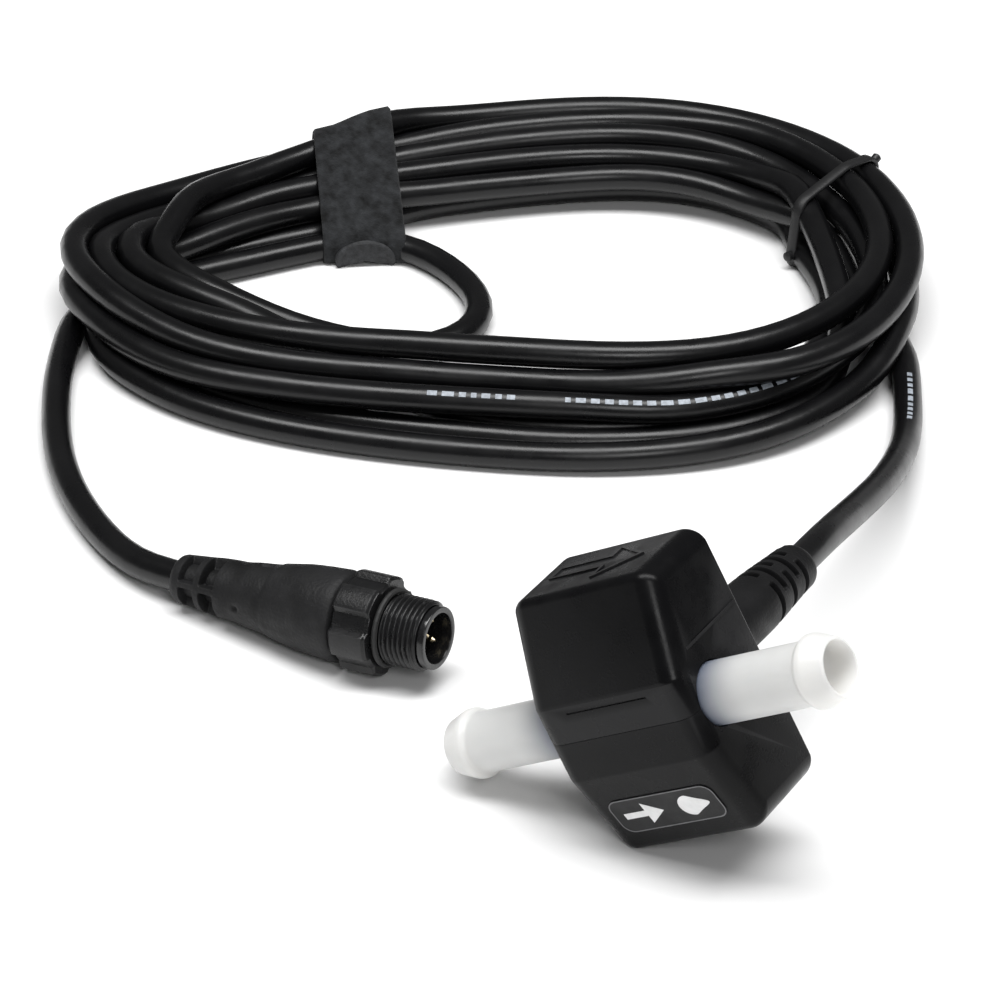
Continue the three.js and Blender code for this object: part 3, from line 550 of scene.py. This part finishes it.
SHORT_MARKS = run_of_marks(0, (1.8, 2.2, 1.3, 1, 1.6, 1.2, 1.5))
LONG_MARKS = run_of_marks(25, (1, 1.8, *[1.6] * 5, *[2.2] * 3, *[1.6] * 4, 2.2, 2.2, 2.4, 1.8, 1.8))
LEAD_MARKS = run_of_marks(2, (1.2, 1, 1.2, 1.2, 2, 2, 1.2, 1.2, 1.2))
prints = [
    print_marks("cable_print_short", PRINT_START, SHORT_MARKS, PRINT_LEAN),
    print_marks("cable_print_long", PRINT_START, LONG_MARKS, PRINT_LEAN),
    print_marks("cable_print_lead", LEAD_PRINT_START, LEAD_MARKS, LEAD_PRINT_LEAN),
]

# ---------- housing ----------

HALF_LENGTH = 14.8
END_DRAFT = 0.55                    # how much each end leans in from the pipe to the top or bottom
TOP, BOTTOM, BACK = 21.9, -21.8, 14.5
FRONT_TOP, BELLY, FRONT_BOTTOM = -1.7, -7.7, -3
BELLY_TOP, BELLY_BOTTOM = 6.3, -6.5
CORNERS = [
    (BACK, TOP), (FRONT_TOP, TOP), (BELLY, BELLY_TOP),
    (BELLY, BELLY_BOTTOM), (FRONT_BOTTOM, BOTTOM), (BACK, BOTTOM),
]
RELIEF_HEIGHT = -0.7
RELIEF_LENGTH = 36.5
CABLE_HOLE = 2.72                   # radius of the bore in the strain relief and in the boot


def inset(corners, distances):
    """Moves each side of an outline inwards by its own distance; side i runs from corner i."""
    count = len(corners)
    lines = []
    for i in range(count):
        a, b = np.array(corners[i], float), np.array(corners[(i + 1) % count], float)
        way = unit(b - a)
        lines.append((a + distances[i] * np.array([-way[1], way[0]]), way))
    out = []
    for i in range(count):
        (p, v), (q, w) = lines[i - 1], lines[i]
        across = v[0] * w[1] - v[1] * w[0]
        gap = q - p
        out.append(p + v * (gap[0] * w[1] - gap[1] * w[0]) / across)
    return out


def arc_corners(corners, radius, steps):
    """The outline with each corner turned into an arc of the given radius."""
    out = []
    count = len(corners)
    for i in range(count):
        back = unit(corners[i - 1] - corners[i])
        on = unit(corners[(i + 1) % count] - corners[i])
        half = math.acos(float(np.dot(back, on))) / 2
        centre = corners[i] + radius / math.sin(half) * unit(back + on)
        spoke = corners[i] + radius / math.tan(half) * back - centre
        for k in range(steps + 1):
            turn = (math.pi - 2 * half) * k / steps
            c, s = math.cos(turn), math.sin(turn)
            out.append(centre + np.array([c * spoke[0] - s * spoke[1], s * spoke[0] + c * spoke[1]]))
    return out


def housing_block(name, shrink, fillet):
    """The housing's block with every side drawn in by shrink, its ends rounded over by fillet."""
    steps = 9
    back_share = 0.3                # the back edges are sharper than the others
    half = []
    for i in range(steps + 1):
        angle = math.pi / 2 * i / steps
        drawn = fillet * (1 - math.cos(angle))
        x = HALF_LENGTH - shrink - fillet * (1 - math.sin(angle))
        distances = [shrink + drawn] * 5 + [shrink + back_share * drawn]
        radius = max(1.8 - 0.5 * (shrink + drawn), 0.3)
        outline = arc_corners(inset(CORNERS, distances), radius, 7)
        half.append((x, outline))
    rings = []
    for side, stations in ((-1, half[::-1]), (1, half)):
        for x, outline in stations:
            rings.append([
                SENSOR.at(side * (x - END_DRAFT * abs(z) / TOP), y, z) for y, z in outline
            ])
    return mesh_object(name, *skin(rings))


def sensor_box(name, low, high):
    (x0, y0, z0), (x1, y1, z1) = low, high
    floor = [SENSOR.at(x, y, z0) for x, y in ((x0, y0), (x1, y0), (x1, y1), (x0, y1))]
    return prism(name, floor, z1 - z0, SENSOR.z)


def rod_along(name, axes, start, end, radius, sides=72):
    rings = []
    for x in (start, end):
        angles = [2 * math.pi * k / sides for k in range(sides)]
        rings.append([axes.at(x, radius * math.cos(a), radius * math.sin(a)) for a in angles])
    return mesh_object(name, *skin(rings))


class Turned90:
    """The sensor's axes turned so that x runs towards the cable side, at the strain relief's height."""

    def __init__(self):
        self.origin = SENSOR.at(0, 0, RELIEF_HEIGHT)
        self.x = SENSOR.y
        self.y = -SENSOR.x
        self.z = SENSOR.z

    at = Axes.at


BACKWARDS = Turned90()

SEAM = 0.04


def housing():
    block = housing_block("housing", 0, 3.3)
    cut(block, housing_block("cavity", 2, 1.2))
    cut(block, rod_along("pipe_hole", SENSOR, -30, 30, 5.15))
    cut(block, rod_along("relief_hole", BACKWARDS, 0, 30, 5.3))
    # a raised line across the outlet end, above the pipe
    cut(block, sensor_box("end_line", (14, -2.2, 8.5), (14.6, 13.2, 9)), "UNION")
    # a short groove across the belly, above the seam
    cut(block, sensor_box("belly_groove", (-7.6, BELLY - 1, 4.65), (8, BELLY + 0.3, 4.95)))
    flow_arrow(block)
    for side, name in ((1, "housing_upper_shell"), (-1, "housing_lower_shell")):
        half = block.copy()
        half.data = block.data.copy()
        half.name = name
        bpy.context.scene.collection.objects.link(half)
        low, high = (SEAM, 60) if side > 0 else (-60, -SEAM)
        cut(half, sensor_box("half", (-60, -60, low), (60, 60, high)), "INTERSECT")
        soften(half, 0.12)
        finished(half, "sensor", "housing_black", sharp=math.radians(24))
    bpy.data.objects.remove(block)
    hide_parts("housing_upper")
    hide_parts("housing_lower")


def soften(obj, width):
    """Rounds the sharp edges of a mesh a little."""
    bevel = obj.modifiers.new("soften", "BEVEL")
    bevel.width = width * MM
    bevel.segments = 2
    bevel.limit_method = "ANGLE"
    bevel.angle_limit = math.radians(50)
    bevel.use_clamp_overlap = True


def flow_arrow(block):
    """A raised outline of an arrow on the top face, pointing the way the fuel flows."""
    middle = 6.5
    foot, tip = -9.5, 8.3
    shaft, head, neck = 1.9, 5.2, 0.8
    line = 0.55
    outline = [
        (foot, -shaft), (neck, -shaft), (neck, -head), (tip, 0), (neck, head), (neck, shaft), (foot, shaft),
    ]
    inside = inset(outline, [line] * len(outline))
    raised = prism("arrow", [SENSOR.at(x, middle + y, TOP - 0.4) for x, y in outline], 0.65, SENSOR.z)
    cut(raised, prism("arrow_inside", [SENSOR.at(x, middle + y, TOP - 1) for x, y in inside], 2, SENSOR.z))
    cut(block, raised, "UNION")


def label():
    """A thin sticker on the lower front face, with a fine rim and plain generic signs."""
    slope = math.atan2(FRONT_BOTTOM - BELLY, BELLY_BOTTOM - BOTTOM)
    share = 0.534
    y = BELLY + share * (FRONT_BOTTOM - BELLY)
    z = BELLY_BOTTOM + share * (BOTTOM - BELLY_BOTTOM)
    up = unit(math.cos(slope) * SENSOR.z - math.sin(slope) * SENSOR.y)
    out = unit(-math.cos(slope) * SENSOR.y - math.sin(slope) * SENSOR.z)
    middle = SENSOR.at(-0.1, y, z)

    def on_face(u, v, lift):
        return middle + u * SENSOR.x + v * up + lift * out

    def plate(name, width, height, corner, low, high):
        box = [np.array([u * width / 2, v * height / 2]) for u, v in ((1, 1), (-1, 1), (-1, -1), (1, -1))]
        return prism(name, [on_face(u, v, low) for u, v in arc_corners(box, corner, 8)], high - low, out)

    sticker = plate("label_sticker", 20.3, 7, 2, 0.02, 0.16)
    finished(sticker, "sensor", "label_black")
    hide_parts("label")
    rim = plate("label_rim", 20.2, 6.9, 1.95, 0.14, 0.2)
    cut(rim, plate("rim_inside", 19.8, 6.5, 1.75, 0.1, 0.3))
    finished(rim, "sensor", "label_black", LABEL_RIM)

    def sign(name, outline):
        obj = prism(name, [on_face(u, v, 0.14) for u, v in outline], 0.06, out)
        return finished(obj, "sensor", "label_black", LABEL_PRINT)

    sign("label_arrow", [(-8.2, -0.6), (-4, -0.6), (-4, -2.2), (-0.6, 0), (-4, 2.2), (-4, 0.6), (-8.2, 0.6)])
    # a drop: a circle drawn out to a point
    drop = []
    for k in range(36):
        a = 2 * math.pi * k / 36
        stretch = 1 + 0.75 * max(math.cos(a), 0) ** 3
        drop.append((4.6 + 2.1 * stretch * math.cos(a), 2.1 * math.sin(a) * (1 - 0.35 * max(math.cos(a), 0))))
    sign("label_drop", drop)


housing()
label()

# ---------- pipe ----------


def barbs():
    profile = [
        (7.4, 3), (7.4, 3.9), (11.2, 3.9), (11.2, 5.1), (12.3, 5.1), (12.3, 4.9), (32.3, 4.9),
        (32.9, 5.65), (33.9, 5.72), (37.15, 4.6), (37.4, 4.35), (37.4, 4.05), (13.6, 4.05), (12.6, 3),
    ]
    smooth = rounded(profile, 0.5)
    for side, node in ((-1, "inlet_barb"), (1, "outlet_barb")):
        obj = turned(node + "_moulding", SENSOR, [(side * x, r) for x, r in smooth])
        finished(obj, "sensor", "milky_nylon", sharp=math.radians(50))
        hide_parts(node)


barbs()

# ---------- strain relief ----------


def opening(angle, middle, half_width, edge):
    """1 inside a stretch of angle round middle, 0 outside it, with a soft edge; all in degrees."""
    off = abs((math.degrees(angle) - middle + 180) % 360 - 180)
    return 1 - smoothstep(half_width - edge, half_width + edge, off)


def notch(x, start, width, edge=0.16):
    """1 inside a slot that starts at x = start, 0 outside it, with a soft edge."""
    end = start + width
    return smoothstep(start - edge, start + edge, x) * (1 - smoothstep(end - edge, end + edge, x))


def fine_stations(start, end, plain, slots, width):
    """Places along an axis: every plain mm, and close together at each slot."""
    places = set(np.round(np.arange(start, end, plain), 3)) | {end}
    for slot in slots:
        places |= set(np.round(np.arange(slot - 0.4, slot + width + 0.4, 0.1), 3))
    return sorted(p for p in places if start <= p <= end)


def strain_relief():
    face = BACK                     # the housing's back face, measured from the pipe's axis
    slots = [face + s for s in (21.4, 23.8, 26.2, 28.6, 31)]
    width = 1.15
    end = face + RELIEF_LENGTH
    droop_total = 1.5

    def radius_at(x, angle):
        along = x - face
        taper = smoothstep(18, 38, along)
        radius = 5.1 - 1.05 * taper - 0.7 * smoothstep(35, RELIEF_LENGTH, along) ** 2
        depth = 0
        for k, slot in enumerate(slots):
            # the bridges across the slots take turns: side and side, then top and bottom
            turn = 45 if k % 2 == 0 else -35
            both = max(opening(angle, turn, 76, 3), opening(angle, turn + 180, 76, 3))
            if k % 2:
                both = max(opening(angle, turn + 180 - 30, 62, 3), opening(angle, turn - 30, 50, 3))
            depth = max(depth, notch(x, slot, width) * both)
        dimple = math.exp(-((x - face - 34.6) / 0.5) ** 2) * opening(angle, 80, 9, 4)
        return radius - 1.5 * depth - 0.6 * dimple

    stations = fine_stations(face - 2, end, 0.6, slots, width)
    obj = carved("strain_relief_boot", BACKWARDS, stations, radius_at, CABLE_HOLE, sides=120)
    # the axes' z is the housing's, so the droop is taken straight down in the row frame
    for vertex in obj.data.vertices:
        along = max((vertex.co.y / MM - (SENSOR.origin[1] + face)) / RELIEF_LENGTH, 0)
        vertex.co.z -= droop_total * MM * along * along
    finished(obj, "sensor", "relief_black", sharp=math.radians(60))
    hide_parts("strain_relief")
    return obj


relief = strain_relief()

# ---------- connector ----------


def back_from_nose(profile):
    return [(-back, radius) for back, radius in profile]


def connector_boot():
    spine = [
        (17.1, 7.35), (17.5, 7.7), (18.4, 7.85), (22, 7.65), (26, 7.3), (31, 6.65), (36, 6.1), (41, 5.45),
        (44.6, 4.95), (48.5, 4.55), (50, 4.4), (50.7, 4.1), (51, 3.4),
    ]
    xs, rs = [p[0] for p in spine], [p[1] for p in spine]
    slots = [41.3, 45.7]
    width = 2.9
    bridge = 160                    # a bar along the boot, in degrees from +Y towards up

    def radius_at(x, angle):
        back = -x
        radius = float(np.interp(back, xs, rs))
        # shallow steps round the body, where the grip's edges are
        radius -= 0.22 * smoothstep(30.6, 31.3, back) + 0.12 * math.exp(-((back - 38) / 1.6) ** 2)
        depth = 0
        for slot in slots:
            upper = opening(angle, bridge - 50, 41, 3)
            lower = opening(angle, bridge + 42, 33, 3)
            far = opening(angle, bridge - 180, 70, 3)
            depth = max(depth, notch(back, slot, width) * max(upper, lower, far))
        grip = opening(angle, 150, 38, 8) * notch(back, 24.5, 7, 1.5)
        hole = opening(angle, 72, 9, 3) * notch(back, 32.6, 2.6, 0.5)
        bump = math.exp(-((back - 36.2) / 0.45) ** 2) * opening(angle, 176, 4, 3)
        waist = 1 - 0.06 * abs(math.sin(angle)) * smoothstep(24, 34, back) * (1 - smoothstep(38, 44, back))
        return max(radius * waist - 2.2 * depth - 0.3 * grip - 1.1 * hole - 0.6 * bump, 2.85)

    stations = [-b for b in fine_stations(17.1, 51, 0.45, slots, width)]
    stations += [-b for b in (17.25, 50.85, 50.95)]
    obj = carved("connector_boot_grip", CONNECTOR, sorted(set(stations)), radius_at, CABLE_HOLE, sides=128)
    finished(obj, "sensor", "boot_black", sharp=math.radians(65))
    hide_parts("connector_boot")
    return obj


NUT_FRONT, NUT_BACK, NUT_RADIUS = 9.4, 16.4, 8.4


def coupling_nut():
    """The lobed grip and its threaded sleeve, with one helical thread."""
    bore = 5.32
    pitch = 0.95
    start, end = 1.5, 8.2

    def radius_at(x, angle):
        back = -x
        if back < NUT_FRONT:
            turns = (back - start) / pitch + angle / (2 * math.pi)
            wave = 0.5 - 0.5 * math.cos(2 * math.pi * turns)
            fade = smoothstep(start - 0.1, start + 0.5, back) * (1 - smoothstep(end - 0.4, end + 0.3, back))
            return 5.47 + 0.53 * fade * wave ** 0.7
        grooves = max(opening(angle, middle, 12.5, 1.6) for middle in range(30, 390, 60))
        front_edge = 0.5 * (1 - smoothstep(0, 0.55, back - NUT_FRONT))
        back_edge = 0.45 * smoothstep(NUT_BACK - 0.5, NUT_BACK, back)
        return NUT_RADIUS - 0.85 * grooves - (front_edge + back_edge)

    stations = list(np.arange(1.4, NUT_FRONT, 0.079)) + [NUT_FRONT - 0.001, NUT_FRONT]
    stations += [NUT_FRONT + d for d in (0.08, 0.2, 0.35, 0.5, 0.65, 1.2, 3, 5)]
    stations += [NUT_BACK - d for d in (0.6, 0.45, 0.3, 0.15, 0)]
    from_back = [-b for b in sorted(set(stations))][::-1]
    obj = carved("coupling_nut_grip", CONNECTOR, from_back, radius_at, bore, sides=144)
    finished(obj, "nut", "nut_black", sharp=math.radians(38))
    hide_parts("coupling_nut")
    return obj


def contact_insert():
    floor = 8
    body = turned("contact_insert_body", CONNECTOR, back_from_nose(rounded([
        (0, 4.25), (0, 5.3), (1.15, 5.3), (1.15, 5.0), (16.8, 5.0), (16.8, 3.5), (22.4, 3.5), (22.4, 0.01),
        (floor, 0.01), (floor, 4.2),
    ], 0.22)), 96)
    finished(body, "sensor", "insert_black", sharp=math.radians(45))
    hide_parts("contact_insert")
    return body


boot = connector_boot()
nut = coupling_nut()
insert = contact_insert()

# ---------- strap and tie, wound round the turns ----------


def turns_across(place, level):
    """Where the cable's turns cross the upright plane through place along level: (along it, height)."""
    reach = 40                      # further off, the plane meets the coil's other side
    normal = np.array([-level[1], level[0]])
    rel = ROUTE[:, :2] - place
    off, along = rel @ normal, rel @ level
    found = []
    for k in range(len(ROUTE) - 1):
        if off[k] * off[k + 1] <= 0 and off[k] != off[k + 1] and abs(along[k]) < reach:
            t = off[k] / (off[k] - off[k + 1])
            height = ROUTE[k, 2] + t * (ROUTE[k + 1, 2] - ROUTE[k, 2])
            found.append((along[k] + t * (along[k + 1] - along[k]), height))
    return found


def hull_of(points):
    """The convex hull of points in a plane, running anticlockwise."""
    points = sorted(set(map(tuple, points)))

    def chain(source):
        out = []
        for p in source:
            while len(out) > 1:
                (ax, ay), (bx, by) = out[-2], out[-1]
                if (bx - ax) * (p[1] - ay) - (by - ay) * (p[0] - ax) > 0:
                    break
                out.pop()
            out.append(p)
        return out[:-1]

    return np.array(chain(points) + chain(points[::-1]))


def wrap_outline(place, level, clear, count=96):
    """A closed line drawn tight round the turns that cross a plane, in equal steps from its lowest right."""
    discs = []
    for u, z in turns_across(place, level):
        for k in range(40):
            a = 2 * math.pi * k / 40
            r = CABLE / 2 + clear
            discs.append((round(u + r * math.cos(a), 4), round(max(z + r * math.sin(a), 0.35), 4)))
    hull = hull_of(discs)
    shut = np.vstack([hull, hull[:1]])
    run = np.r_[0, np.cumsum(np.linalg.norm(np.diff(shut, axis=0), axis=1))]
    first = int(np.argmax(hull[:, 0] - 0.6 * hull[:, 1]))
    places = (run[first] + np.linspace(0, run[-1], count, endpoint=False)) % run[-1]
    return np.column_stack([np.interp(places, run, shut[:, k]) for k in range(2)])


def band(name, centre, level, width, thickness, clear, stations=9):
    """A flat strap drawn tight round the turns, square to level or nearly so."""
    level = unit(level)
    side = np.array([-level[1], level[0]])
    outlines = [wrap_outline(centre + side * s, level, clear)
                for s in np.linspace(-width / 2, width / 2, stations)]
    eased = []
    for k in range(stations):
        near = outlines[max(k - 2, 0):k + 3]
        eased.append(sum(near) / len(near))

    def grown(outline, by):
        ahead, behind = np.roll(outline, -1, axis=0), np.roll(outline, 1, axis=0)
        way = ahead - behind
        way /= np.linalg.norm(way, axis=1)[:, None]
        return outline + by * np.column_stack([way[:, 1], -way[:, 0]])

    count = len(eased[0])
    edge = thickness * 0.35
    loops = []
    for s, outline in zip(np.linspace(-width / 2, width / 2, stations), eased):
        loops.append((s, grown(outline, thickness)))
    section = [(loops[0][0] - edge, grown(eased[0], thickness * 0.6)), *loops,
               (loops[-1][0] + edge, grown(eased[-1], thickness * 0.6)),
               (loops[-1][0] + edge, grown(eased[-1], thickness * 0.25))]
    section += [(s, o) for (s, _), o in zip(loops[::-1], eased[::-1])]
    section += [(loops[0][0] - edge, grown(eased[0], thickness * 0.25))]
    rings = []
    for s, outline in section:
        ring = []
        for j in range(count):
            u, z = outline[j]
            x, y = np.array(centre) + side * s + level * u
            ring.append((x, y, max(z, 0.12)))
        rings.append(ring)
    return mesh_object(name, *skin(rings, closed=True)), eased


STRAP_CENTRE = np.array(coil_point(math.radians(112), -5.5))
STRAP_WAY = unit(np.array(coil_point(math.radians(112), -15)) - np.array(coil_point(math.radians(112), 5)))
STRAP_SKEW = math.radians(-18.5)
STRAP_WIDTH = 15.5
STRAP_THICKNESS = 1.2
TIE_CENTRE = np.array(coil_point(math.radians(20.5), -1))
TIE_WAY = unit(np.array(coil_point(math.radians(22.5), -10)) - np.array(coil_point(math.radians(22.5), 10)))
TIE_SKEW = math.radians(17)
TIE_WIDTH = 1.8
TIE_THICKNESS = 0.9


def turned_by(vector, angle):
    c, s = math.cos(angle), math.sin(angle)
    return np.array([c * vector[0] - s * vector[1], s * vector[0] + c * vector[1]])


def on_band(centre, level, outline, across, along, lift):
    """A point over a band: across its width, along its outline from the lowest inner place, and off it."""
    shut = np.vstack([outline, outline[:1]])
    run = np.r_[0, np.cumsum(np.linalg.norm(np.diff(shut, axis=0), axis=1))]

    def place(at):
        return np.array([np.interp(at % run[-1], run, shut[:, k]) for k in range(2)])

    way = unit(place(along + 0.8) - place(along - 0.8))
    u, z = place(along) + lift * np.array([way[1], -way[0]])
    side = np.array([-level[1], level[0]])
    x, y = np.array(centre) + side * across + level * u
    return np.array([x, y, max(z, 0.12)])


def strap_tab(level, outline, thickness):
    """The strap's rounded end, pressed on its inner side, low down, with a raised rim."""
    half_width, half_height, middle = 6, 2.4, 0.6
    rings = []
    section = ((0.02, -0.4), (1, -0.4), (1, 1.3), (0.95, 1.5), (0.86, 1.5), (0.8, 1.15), (0.02, 1.15))
    for share, lift in section:
        ring = []
        for k in range(60):
            a = 2 * math.pi * k / 60
            ring.append(on_band(STRAP_CENTRE, level, outline, share * half_width * math.cos(a),
                                middle + share * half_height * math.sin(a), thickness + lift))
        rings.append(ring)
    obj = mesh_object("strap_tab", *skin(rings))
    return finished(obj, "sensor", "strap_charcoal", TAB_GREY, sharp=math.radians(50))


def tie_end(name, level, outline, along, length):
    """A short cut end of the tie, standing off the bundle."""
    base = on_band(TIE_CENTRE, level, outline, 0, along, 0.2)
    tip = on_band(TIE_CENTRE, level, outline, 0, along, length)
    way = unit(tip - base)
    side = unit(np.cross(way, [0, 0, 1]))
    up = np.cross(side, way)
    rings = []
    for share, radius in ((0, 0.9), (0.85, 0.95), (1, 0.6)):
        angles = [2 * math.pi * k / 20 for k in range(20)]
        middle = base + share * (tip - base)
        rings.append([middle + radius * (math.cos(a) * side + math.sin(a) * up) for a in angles])
    return finished(mesh_object(name, *skin(rings)), "sensor", "tie_black", sharp=math.radians(50))


strap_level = turned_by(STRAP_WAY, STRAP_SKEW)
strap, strap_outlines = band("strap_band", STRAP_CENTRE, strap_level, STRAP_WIDTH, STRAP_THICKNESS, 0.15)
finished(strap, "sensor", "strap_charcoal", sharp=math.radians(70))
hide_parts("coil_strap")
tab = strap_tab(strap_level, strap_outlines[len(strap_outlines) // 2], STRAP_THICKNESS)

tie_level = turned_by(TIE_WAY, TIE_SKEW)
tie, tie_outlines = band("tie_band", TIE_CENTRE, tie_level, TIE_WIDTH, TIE_THICKNESS, 0.12, stations=3)
finished(tie, "sensor", "tie_black", sharp=math.radians(70))
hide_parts("coil_tie")
tie_outline = tie_outlines[1]
tie_shut = np.vstack([tie_outline, tie_outline[:1]])
tie_run = float(np.linalg.norm(np.diff(tie_shut, axis=0), axis=1).sum())
ends = [tie_end("tie_end_low", tie_level, tie_outline, 1.5, 2),
        tie_end("tie_end_high", tie_level, tie_outline, 0.53 * tie_run, 2.2)]

# ---------- what stays as the frame has it, with its own finish ----------

SLOT_OF = {row["node"]: row["material_slot"] for row in frame["record"]["subparts"]}
for node, obj in frame["nodes"].items():
    obj.data.materials.clear()
    obj.data.materials.append(MATERIALS[SLOT_OF[node]])
    obj.data.shade_smooth()
    obj.data.set_sharp_from_angle(angle=SHARP)

# ---------- floor, lights and backdrop ----------


FLOOR_HALF = 3000
WORLD_STRENGTH = 0.12


def stage():
    corners = [(x * FLOOR_HALF, y * FLOOR_HALF, 0) for x, y in ((-1, -1), (1, -1), (1, 1), (-1, 1))]
    floor = mesh_object("floor", corners, [(0, 1, 2, 3)])
    floor.data.materials.append(shade("floor_pale", (0.9, 0.9, 0.9), 0.8, spread=0.01, patch=3, bump=0.0,
                                      rough_spread=0.02))
    world = bpy.data.worlds.new("studio")
    bpy.context.scene.world = world
    world.use_nodes = True
    world.node_tree.nodes["Background"].inputs["Color"].default_value = (1, 1, 1, 1)
    world.node_tree.nodes["Background"].inputs["Strength"].default_value = WORLD_STRENGTH


def softbox(name, place, aim, size, watts):
    data = bpy.data.lights.new(name, "AREA")
    data.shape = "RECTANGLE"
    data.size, data.size_y = size
    data.energy = watts
    light = bpy.data.objects.new(name, data)
    bpy.context.scene.collection.objects.link(light)
    light.location = place
    light.rotation_mode = "QUATERNION"
    light.rotation_quaternion = (Vector(aim) - Vector(place)).to_track_quat("-Z", "Y")


stage()
softbox("key", (-0.026, -0.004, 1.1), (-0.08, 0.08, 0), (1.4, 0.45), 20)
softbox("front", (0.55, -0.6, 0.7), (-0.03, 0.05, 0), (0.3, 0.3), 2.5)
bpy.context.scene.view_settings.view_transform = "Standard"     # plain tones, with no film curve
